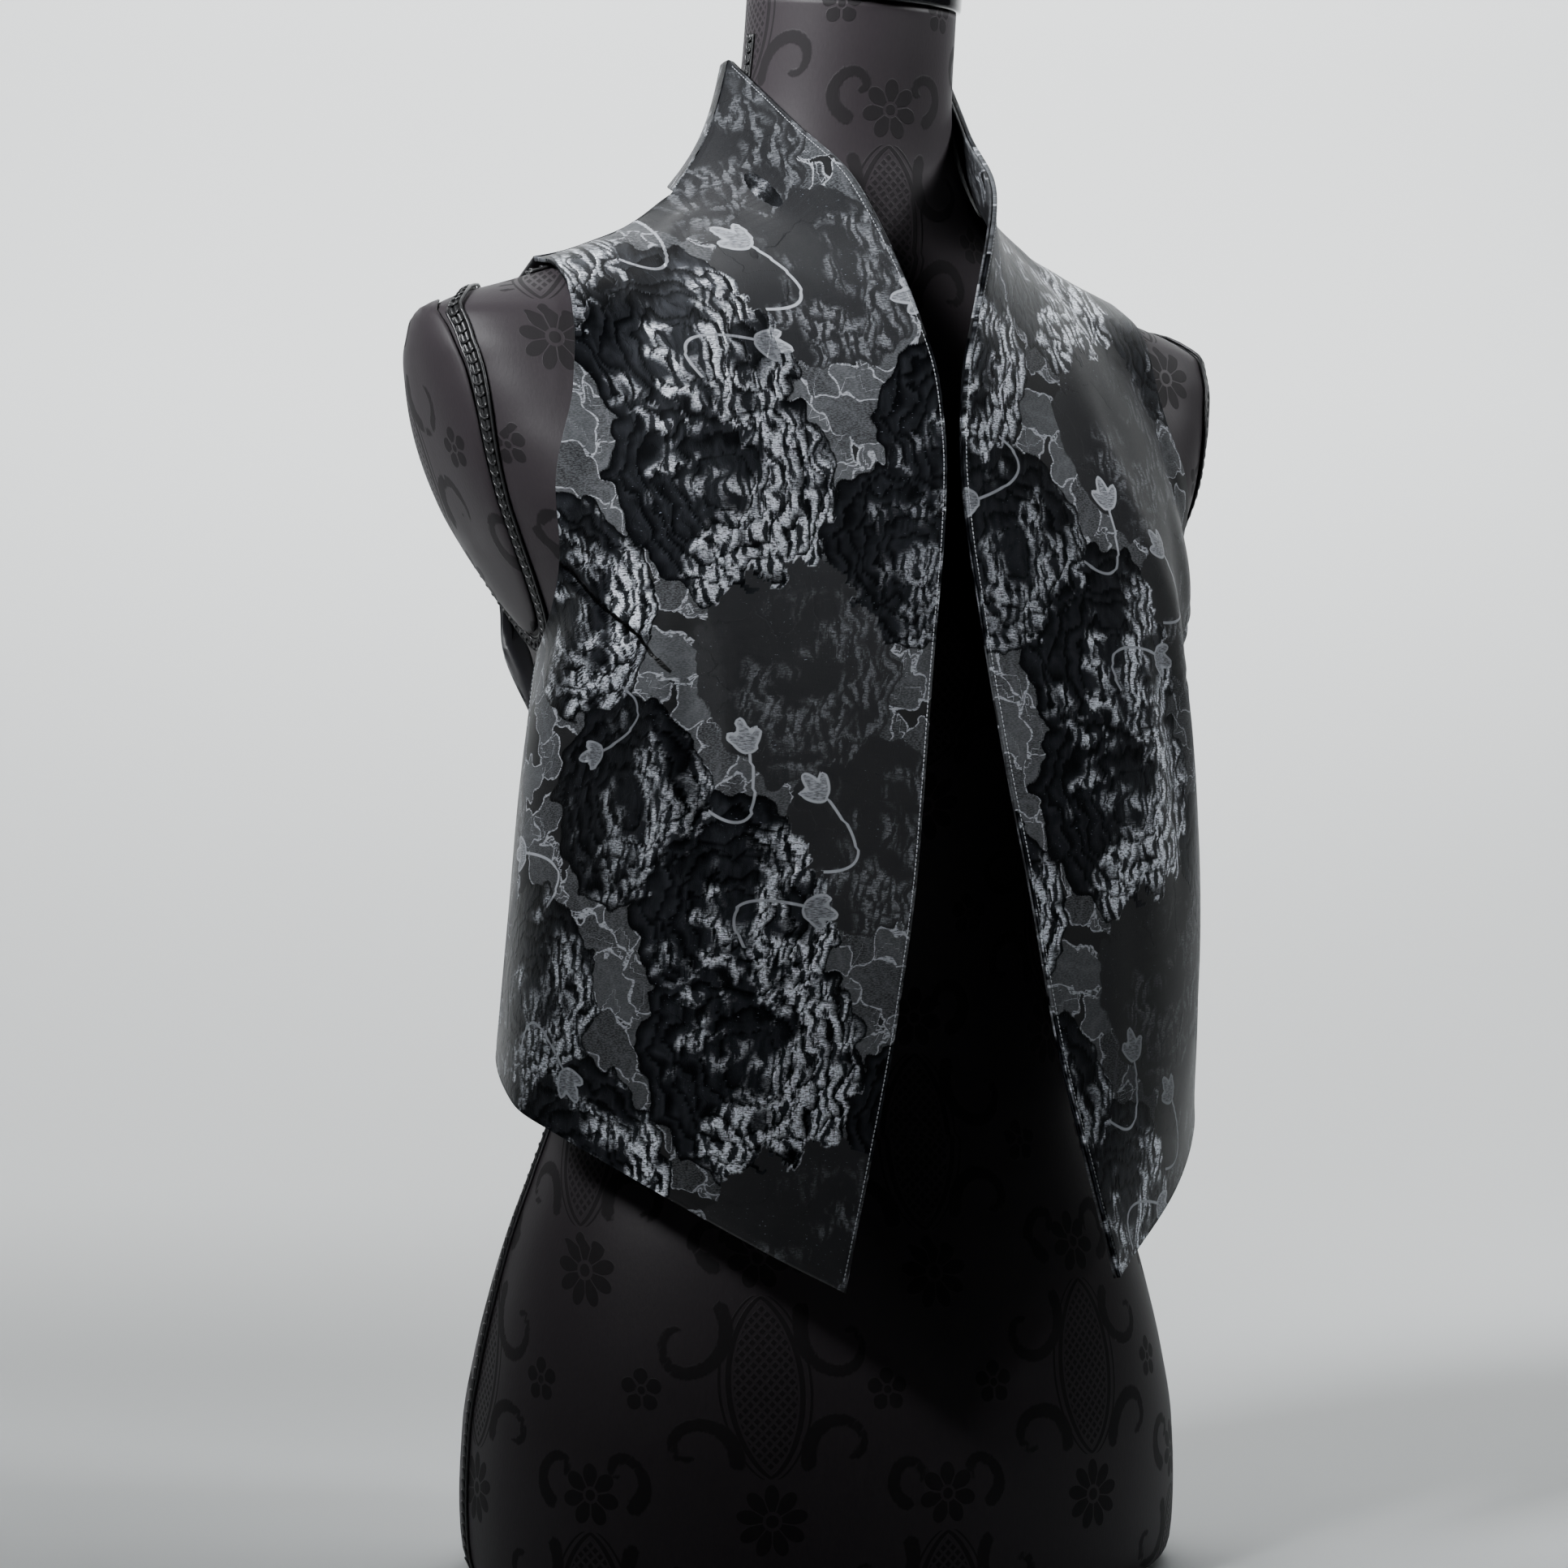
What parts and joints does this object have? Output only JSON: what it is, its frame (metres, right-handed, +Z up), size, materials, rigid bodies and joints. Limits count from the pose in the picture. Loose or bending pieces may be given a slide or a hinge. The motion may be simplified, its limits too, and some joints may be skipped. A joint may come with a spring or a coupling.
{
  "type": "waistcoat on a dress form",
  "caption": "Cropped open-front waistcoat in dark floral brocade with a grown-on stand collar, worn on a limbless damask-covered dress form.",
  "frame": {"origin": "mount underside, on the plane of the form's flat underside and in the plane of symmetry, 5 mm behind the middle of that face. It isn't the middle of the overall bounding box, which is 20 mm in front of it.", "axes": "+Z up, -Y towards the wearer's front, +X towards the wearer's left"},
  "size_m": [0.3922, 0.28, 0.7225],
  "materials": {
    "brocade": "charcoal floral jacquard with metallic silver-blue blooms",
    "facing_brocade": "same floral jacquard, inside of the collar and front edges",
    "back_satin": "plain black satin",
    "form_damask": "dark plum-black damask stretched over a hard form",
    "cap_gloss": "polished black",
    "gimp_braid": "black looped gimp braid"
  },
  "bodies": {
    "root": {"front_L": "brocade", "front_R": "brocade", "facing_L": "facing_brocade", "facing_R": "facing_brocade", "back": "back_satin", "back_collar": "brocade", "form_torso": "form_damask", "arm_plate_L": "form_damask", "arm_plate_R": "form_damask", "neck_cap": "cap_gloss", "braid_shoulder_L": "gimp_braid", "braid_shoulder_R": "gimp_braid", "braid_plate_L": "gimp_braid", "braid_plate_R": "gimp_braid", "braid_side_L": "gimp_braid", "braid_side_R": "gimp_braid"}
  },
  "joints": []
}
